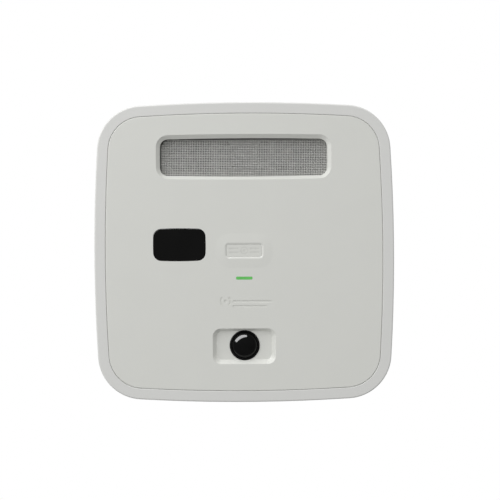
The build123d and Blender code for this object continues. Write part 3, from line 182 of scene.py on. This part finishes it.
LAMP_GREEN = (0.112, 0.44, 0.102)
GLOW_DIM = (0.09, 0.50, 0.08)
GLOW_BRIGHT = (0.16, 0.62, 0.13)
GLOW_STRENGTH = 0.30


def lamp():
    """Frosted light pipe with an uneven green glow."""
    material = finish("lamp_green", LAMP_GREEN, 0.35, shade=0.1, patch=1.5 * MM, grain=0.2 * MM)
    tree = material.node_tree
    shader = tree.nodes["Principled BSDF"]
    cloud = spread(tree, noise(tree, 1.2 * MM), 0, 1)
    glow = mix_colours(tree, cloud, GLOW_DIM, GLOW_BRIGHT)
    tree.links.new(glow, shader.inputs["Emission Color"])
    shader.inputs["Emission Strength"].default_value = GLOW_STRENGTH
    return material


PANEL_WHITE = (0.785, 0.792, 0.750)
BEZEL_WHITE = (0.787, 0.790, 0.768)
PRINT_GREY = (0.73, 0.737, 0.698)
SIGN_GREY = (0.755, 0.762, 0.722)
METAL = {"Metallic": 1.0}
SATIN = {"Specular_IOR_Level": 0.3}

materials = {
    "panel": finish("panel_plastic", PANEL_WHITE, 0.55, shade=0.006, patch=14 * MM, **SATIN),
    "bezel": finish("bezel_plastic", BEZEL_WHITE, 0.55, shade=0.006, patch=14 * MM, **SATIN),
    "housing": finish("housing_plastic", (0.77, 0.775, 0.75), 0.5, shade=0.01, patch=12 * MM),
    "bracket": finish("bracket_plastic", (0.73, 0.735, 0.71), 0.5, shade=0.015, patch=10 * MM),
    "button": finish("button_plastic", PANEL_WHITE, 0.5, shade=0.006, grain=0.25 * MM, **SATIN),
    "print": finish("button_print", PRINT_GREY, 0.6, shade=0.02, patch=1 * MM, grain=0.12 * MM),
    "sign": finish("sunk_sign", SIGN_GREY, 0.6, shade=0.02, patch=1 * MM, grain=0.12 * MM),
    "door": finish("door_plastic", (0.75, 0.755, 0.73), 0.46, shade=0.012, patch=8 * MM),
    "seal": finish("seal_rubber", (0.035, 0.035, 0.034), 0.75, shade=0.1, patch=2 * MM),
    "wire": finish("mesh_wire", (0.605, 0.605, 0.58), 0.42, shade=0.10, patch=1.6 * MM,
                   grain=0.12 * MM),
    "carrier": finish("carrier_plastic", (0.16, 0.16, 0.155), 0.6, shade=0.05, patch=3 * MM),
    "window": finish("window_black", (0.0035, 0.0035, 0.0033), 0.09, shade=0.2, patch=9 * MM,
                     depth=0.0005 * MM, rough_spread=0.02, Specular_IOR_Level=0.35),
    "lens": finish("lens_black", (0.0040, 0.0042, 0.0040), 0.07, shade=0.2, patch=3 * MM,
                   depth=0.0003 * MM, rough_spread=0.015, Specular_IOR_Level=0.25),
    "ring": finish("ring_black", (0.0025, 0.0025, 0.0025), 0.45, shade=0.2, patch=1 * MM,
                   grain=0.2 * MM, Specular_IOR_Level=0.15),
    "lamp": lamp(),
    "diode": finish("diode_resin", (0.70, 0.72, 0.40), 0.2, shade=0.08, patch=0.6 * MM),
    "steel": finish("zinc_steel", (0.60, 0.60, 0.585), 0.3, shade=0.1, patch=1.2 * MM, **METAL),
    "nickel": finish("nickel_plate", (0.70, 0.67, 0.60), 0.24, shade=0.08, patch=3 * MM,
                     stretch=(1, 1, 6), **METAL),
    "spring": finish("spring_wire", (0.62, 0.61, 0.58), 0.22, shade=0.08, patch=1 * MM, grain=0.1 * MM,
                     **METAL),
    "battery_up": battery_wrap("battery_wrap_up", 1),
    "battery_down": battery_wrap("battery_wrap_down", -1),
    "board": circuit_board(),
    "display": finish("display_glass", (0.012, 0.013, 0.015), 0.12, shade=0.1, depth=0.001 * MM),
    "chip": finish("chip_epoxy", (0.018, 0.018, 0.019), 0.55, shade=0.12, patch=2 * MM,
                   grain=0.08 * MM),
    "shield": finish("tinned_shield", (0.66, 0.66, 0.64), 0.28, shade=0.06, patch=5 * MM,
                     stretch=(1, 1, 8), **METAL),
    "nylon": finish("connector_nylon", (0.72, 0.68, 0.56), 0.4, shade=0.04, patch=2 * MM),
    "can": finish("aluminium_can", (0.78, 0.79, 0.80), 0.25, shade=0.05, patch=2 * MM,
                  stretch=(1, 6, 1), **METAL),
    "switch": finish("switch_body", (0.02, 0.02, 0.02), 0.45, shade=0.1, patch=1 * MM),
    "plunger": finish("plunger_red", (0.42, 0.03, 0.02), 0.35, shade=0.06, patch=0.8 * MM),
    "sensor": finish("sensor_body", (0.74, 0.72, 0.63), 0.45, shade=0.03, patch=4 * MM),
    "filter": finish("sensor_filter", (0.03, 0.03, 0.03), 0.8, shade=0.25, patch=0.5 * MM,
                     grain=0.2 * MM, depth=0.05 * MM),
    "basket": finish("basket_enamel", (0.02, 0.02, 0.02), 0.35, shade=0.1, patch=2 * MM),
    "magnet": finish("magnet_nickel", (0.62, 0.62, 0.62), 0.18, shade=0.05, patch=3 * MM, **METAL),
    "cone": finish("cone_film", (0.03, 0.03, 0.028), 0.6, shade=0.2, patch=1 * MM, grain=0.3 * MM,
                   depth=0.03 * MM),
    "copper": finish("coil_copper", (0.75, 0.33, 0.14), 0.25, shade=0.08, patch=0.4 * MM,
                     stretch=(6, 0.5, 6), **METAL),
    "foam": finish("gasket_foam", (0.035, 0.035, 0.035), 0.9, shade=0.3, patch=0.6 * MM,
                   grain=0.25 * MM, depth=0.08 * MM),
    "siren": finish("siren_plastic", (0.03, 0.03, 0.03), 0.5, shade=0.1, patch=3 * MM),
    "brass": finish("siren_disc_plate", (0.34, 0.32, 0.28), 0.4, shade=0.07, patch=2 * MM, **METAL),
    "lead": finish("lead_sleeve", (0.035, 0.012, 0.010), 0.4, shade=0.06, patch=1 * MM),
}

NODE_FINISH = {
    "front_panel": "panel", "bezel_frame": "bezel", "rear_housing": "housing", "wall_bracket": "bracket",
    "test_button": "button", "battery_door": "door", "housing_seal": "seal", "grille_mesh": "wire",
    "grille_carrier": "carrier", "display_window": "window", "dome_lens": "lens", "lens_ring": "ring",
    "led_light_pipe": "lamp", "status_led": "diode", "door_hinge_pins": "steel", "housing_screws": "steel",
    "board_screws": "steel", "main_board": "board", "display_module": "display", "control_chip": "chip",
    "wireless_module": "shield", "speaker_connector": "nylon", "siren_connector": "nylon",
    "capacitor_upper": "can", "capacitor_lower": "can", "tact_switch": "switch",
    "switch_plunger": "plunger",
    "co_sensor_cell": "sensor", "co_sensor_filter": "filter", "pir_sensor": "nickel",
    "speaker_frame": "basket", "speaker_magnet": "magnet", "speaker_cone": "cone",
    "voice_coil": "copper", "speaker_gasket": "foam",
    "siren_housing": "siren", "siren_disc": "brass", "speaker_leads": "lead", "siren_leads": "lead",
    "battery_left": "battery_up", "battery_middle": "battery_down", "battery_right": "battery_up",
    "battery_spring_left": "spring", "battery_spring_middle": "spring", "battery_spring_right": "spring",
    "battery_contact_positive_end": "nickel", "battery_contact_negative_end": "nickel",
    "battery_contact_lower_link": "nickel", "battery_contact_upper_link": "nickel",
}


def dress(piece, finish_name):
    """Gives a piece one material in place of all that it has."""
    piece.data.materials.clear()
    piece.data.materials.append(materials[finish_name])


for node_name, finish_name in NODE_FINISH.items():
    dress(NODES[node_name], finish_name)


# Each mark's box in X and Z, as its low and high corners, and how deep it is sunk.
SIGN_BOX = ((-12 * MM, -27 * MM), (13 * MM, -17 * MM))
SIGN_DEPTH = 0.2 * MM
ICON_BOX = ((-7.6 * MM, -1.7 * MM), (7.6 * MM, 3.0 * MM))
ICON_DEPTH = 0.1 * MM


def tint_sunk_marks(piece, finish_name, low, high, depth):
    """Gives the floors of the marks sunk into a piece's face, within a box, a second material."""
    piece.data.materials.append(materials[finish_name])
    places = [v.co for v in piece.data.vertices]
    inside = [low[0] < p.x < high[0] and low[1] < p.z < high[1] for p in places]
    face = min(p.y for p, within in zip(places, inside) if within)
    for polygon in piece.data.polygons:
        corners = polygon.vertices
        sunk = all(inside[i] and abs(places[i].y - face - depth) < depth / 4 for i in corners)
        if sunk:
            polygon.material_index = len(piece.data.materials) - 1


tint_sunk_marks(NODES["front_panel"], "sign", *SIGN_BOX, SIGN_DEPTH)
tint_sunk_marks(NODES["test_button"], "print", *ICON_BOX, ICON_DEPTH)


# ---- Woven grille mesh ----
WEAVE_PITCH = 0.76 * MM
WIRE_R = 0.15 * MM
WIRE_SIDES = 6
MESH_CORNER = 3.6 * MM  # of the line that the wires end on


def tube(vertices, faces, points, radius, sides):
    """Adds a tube along points to a vertex and a face list, closed at both ends."""
    first = len(vertices)
    for index, point in enumerate(points):
        before = points[max(index - 1, 0)]
        after = points[min(index + 1, len(points) - 1)]
        along = (after - before).normalized()
        side = along.cross(Vector((0, 1, 0))).normalized()
        up = side.cross(along)
        for step in range(sides):
            angle = 2 * math.pi * step / sides
            vertices.append(point + radius * (math.cos(angle) * side + math.sin(angle) * up))
    for ring in range(len(points) - 1):
        for step in range(sides):
            here = first + ring * sides
            following = (step + 1) % sides
            faces.append((here + step, here + following, here + sides + following, here + sides + step))
    last = first + (len(points) - 1) * sides
    faces.append(tuple(first + step for step in reversed(range(sides))))
    faces.append(tuple(last + step for step in range(sides)))


def mesh_piece(name, vertices, faces, finish_name, body):
    """New smooth piece from vertices and faces, dressed and riding on a body."""
    mesh = bpy.data.meshes.new(name)
    mesh.from_pydata([tuple(v) for v in vertices], [], faces)
    mesh.update()
    mesh.polygons.foreach_set("use_smooth", [True] * len(mesh.polygons))
    piece = bpy.data.objects.new(name, mesh)
    bpy.context.scene.collection.objects.link(piece)
    dress(piece, finish_name)
    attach(piece, body)
    return piece


def half_span(offset, half_length, half_height, corner):
    """Half the length of a round-cornered rectangle at an offset from its middle line."""
    over = abs(offset) - (half_height - corner)
    if over <= 0:
        return half_length
    return half_length - corner + math.sqrt(max(corner**2 - over**2, 0.0))


def wavy_points(start, along, reach, wave, phase):
    """Points of one wire of the weave, both ways from its middle point."""
    steps = int(reach / (WEAVE_PITCH / 2))
    points = []
    for step in range(-steps, steps + 1):
        rise = wave * math.cos(math.pi * (step / 2 + phase))
        points.append(start + step * WEAVE_PITCH / 2 * along + Vector((0, rise, 0)))
    return points


def weave(low, high):
    """Plain weave of wavy wires that fills a round-cornered box between two corners."""
    middle = (low + high) / 2
    half = (high - low) / 2 - Vector((WIRE_R, WIRE_R, WIRE_R))
    columns = int(half.x / WEAVE_PITCH)
    rows = int(half.z / WEAVE_PITCH)
    vertices, faces = [], []
    for row in range(-rows, rows + 1):
        up = row * WEAVE_PITCH
        reach = half_span(up, half.x, half.z, MESH_CORNER)
        start = middle + Vector((0, 0, up))
        points = wavy_points(start, Vector((1, 0, 0)), reach, WIRE_R, row)
        tube(vertices, faces, points, WIRE_R, WIRE_SIDES)
    for column in range(-columns, columns + 1):
        across = column * WEAVE_PITCH
        reach = half_span(across, half.z, half.x, MESH_CORNER)
        start = middle + Vector((across, 0, 0))
        points = wavy_points(start, Vector((0, 0, 1)), reach, -WIRE_R, column)
        tube(vertices, faces, points, WIRE_R, WIRE_SIDES)
    return vertices, faces


CAP_LOW, CAP_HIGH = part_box("test_button")
CAP_GROW = 0.09 * MM  # leaves a hairline between the cap and its slot
CAP_BACK_LEVEL = 35.3 * MM  # in front of the button's stop flange
CAP_SIDE = (7.2 * MM, 2.2 * MM)  # a vertex past either, in X or in Z, is on the cap's outline
CAP_CORNER = (6.6 * MM, 1.8 * MM)  # past these it moves out along X or along Z


def button_cap():
    """The test button, its cap a little fuller than the CAD node's."""
    node = NODES["test_button"]
    cap = bpy.data.objects.new("button_cap", node.data.copy())
    bpy.context.scene.collection.objects.link(cap)
    middle = (CAP_LOW + CAP_HIGH) / 2
    for vertex in cap.data.vertices:
        offset = vertex.co - middle
        across, up = abs(offset.x), abs(offset.z)
        if -vertex.co.y > CAP_BACK_LEVEL and (across > CAP_SIDE[0] or up > CAP_SIDE[1]):
            vertex.co.x += math.copysign(CAP_GROW, offset.x) * (across > CAP_CORNER[0])
            vertex.co.z += math.copysign(CAP_GROW, offset.z) * (up > CAP_CORNER[1])
    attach(cap, "button")
    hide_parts("test_button")


button_cap()
grille = mesh_piece("grille_weave", *weave(*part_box("grille_mesh")), "wire", "detector")
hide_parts("grille_mesh")

# ---- Floor, well below the detector, which hangs on a wall ----
CASE_LOW, CASE_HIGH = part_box("bezel_frame")
FLOOR_DROP = 0.3
FLOOR_HALF = 0.9  # half its side
PAPER_WHITE = (0.86, 0.86, 0.86)


def pale_floor():
    """Large plain square below the detector."""
    mesh = bpy.data.meshes.new("floor")
    level = CASE_LOW.z - FLOOR_DROP
    corners = [(-1, -1), (1, -1), (1, 1), (-1, 1)]
    mesh.from_pydata([(x * FLOOR_HALF, y * FLOOR_HALF, level) for x, y in corners], [], [(0, 1, 2, 3)])
    floor = bpy.data.objects.new("floor", mesh)
    bpy.context.scene.collection.objects.link(floor)
    floor.data.materials.append(finish("floor_paper", PAPER_WHITE, 0.8, shade=0.01, patch=50 * MM))
    floor.visible_diffuse = False
    floor.visible_glossy = False


pale_floor()


# ---- Light: a pale room that is brighter up and to the left, and a card that the gloss mirrors ----
ROOM_EVEN = 0.64  # radiance halfway between the bright and the dim side
ROOM_SWING = 0.58  # how much brighter the bright side is than halfway
BRIGHT_SIDE = Vector((-0.55, -0.05, 0.83)).normalized()
ROOM_MIRROR = 0.16  # radiance that gloss mirrors
KEY = {"polar": 60, "azimuth": 143, "distance": 0.42, "size": (0.4, 0.4), "power": 0.34}
CARD = {"polar": 63.5, "azimuth": 118, "distance": 0.5, "size": (0.77, 0.2), "power": 10.0}


def studio_room():
    """White seen by the camera, a soft one-sided light on the object, and a dim room for reflections."""
    world = bpy.data.worlds.new("studio")
    world.use_nodes = True
    bpy.context.scene.world = world
    tree = world.node_tree
    tree.nodes.clear()
    path = tree.nodes.new("ShaderNodeLightPath")
    output = tree.nodes.new("ShaderNodeOutputWorld")
    light = {}
    for title, value in (("room", 1.0), ("mirror", ROOM_MIRROR), ("white", 1.0)):
        light[title] = tree.nodes.new("ShaderNodeBackground")
        light[title].inputs["Color"].default_value = (1.0, 1.0, 1.0, 1.0)
        light[title].inputs["Strength"].default_value = value
    place = tree.nodes.new("ShaderNodeTexCoord")
    towards = add_node(tree, "ShaderNodeVectorMath", operation="DOT_PRODUCT")
    towards.inputs[1].default_value = BRIGHT_SIDE
    swing = add_node(tree, "ShaderNodeMath", operation="MULTIPLY_ADD")
    swing.inputs[1].default_value = ROOM_SWING
    swing.inputs[2].default_value = ROOM_EVEN
    tree.links.new(place.outputs["Generated"], towards.inputs[0])
    tree.links.new(towards.outputs["Value"], swing.inputs[0])
    tree.links.new(swing.outputs[0], light["room"].inputs["Strength"])
    glossy = tree.nodes.new("ShaderNodeMixShader")
    seen = tree.nodes.new("ShaderNodeMixShader")
    tree.links.new(path.outputs["Is Glossy Ray"], glossy.inputs[0])
    tree.links.new(light["room"].outputs[0], glossy.inputs[1])
    tree.links.new(light["mirror"].outputs[0], glossy.inputs[2])
    tree.links.new(path.outputs["Is Camera Ray"], seen.inputs[0])
    tree.links.new(glossy.outputs[0], seen.inputs[1])
    tree.links.new(light["white"].outputs[0], seen.inputs[2])
    tree.links.new(seen.outputs[0], output.inputs["Surface"])


def direction(polar, azimuth):
    """Unit vector at a polar angle from the line of sight and an azimuth from +X towards +Z."""
    polar, azimuth = math.radians(polar), math.radians(azimuth)
    across = math.sin(polar) * math.cos(azimuth)
    up = math.sin(polar) * math.sin(azimuth)
    return Vector((across, -math.cos(polar), up))


def soft_light(name, target, polar, azimuth, distance, size, power):
    """Area light that faces a target from a direction, its long side square to the line of sight."""
    towards = direction(polar, azimuth)
    long_side = direction(90, azimuth - 90)
    light = bpy.data.lights.new(name, "AREA")
    light.shape = "RECTANGLE"
    light.size, light.size_y = size
    light.energy = power
    lamp_object = bpy.data.objects.new(name, light)
    lamp_object.location = target + distance * towards
    axes = Matrix((long_side, towards.cross(long_side), towards))
    lamp_object.rotation_euler = axes.transposed().to_euler()
    bpy.context.scene.collection.objects.link(lamp_object)
    return lamp_object


studio_room()
FACE_CENTRE = Vector((0, CASE_LOW.y, 0))
LENS_CENTRE = (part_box("dome_lens")[0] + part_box("dome_lens")[1]) / 2
key = soft_light("key", FACE_CENTRE, **KEY)
key.visible_glossy = False
card = soft_light("card", LENS_CENTRE, **CARD)
card.visible_diffuse = False

# ---- Camera: straight on, from far away ----
CASE_SHARE = 0.5996  # of the image's width, at the case's front
CAMERA_DISTANCE = 1.3
CAMERA_REACH = 10.0
SENSOR = 36.0  # millimetres, like the lens
AIM = Vector((2.6 * MM, 0, 0.9 * MM))  # the point of the face in the middle of the image
ROLL = 0.3  # degrees about the line of sight


def place_camera():
    """Long lens, square to the face and turned a little about the line of sight."""
    data = bpy.data.cameras.new("camera")
    field = (CASE_HIGH.x - CASE_LOW.x) / CASE_SHARE
    data.sensor_width = SENSOR
    data.lens = SENSOR * CAMERA_DISTANCE / field
    data.clip_end = CAMERA_REACH
    camera = bpy.data.objects.new("camera", data)
    camera.location = (AIM.x, CASE_LOW.y - CAMERA_DISTANCE, AIM.z)
    camera.rotation_euler = (math.radians(90), math.radians(ROLL), 0)
    bpy.context.scene.collection.objects.link(camera)
    bpy.context.scene.camera = camera


place_camera()
bpy.context.scene.view_settings.view_transform = "Standard"
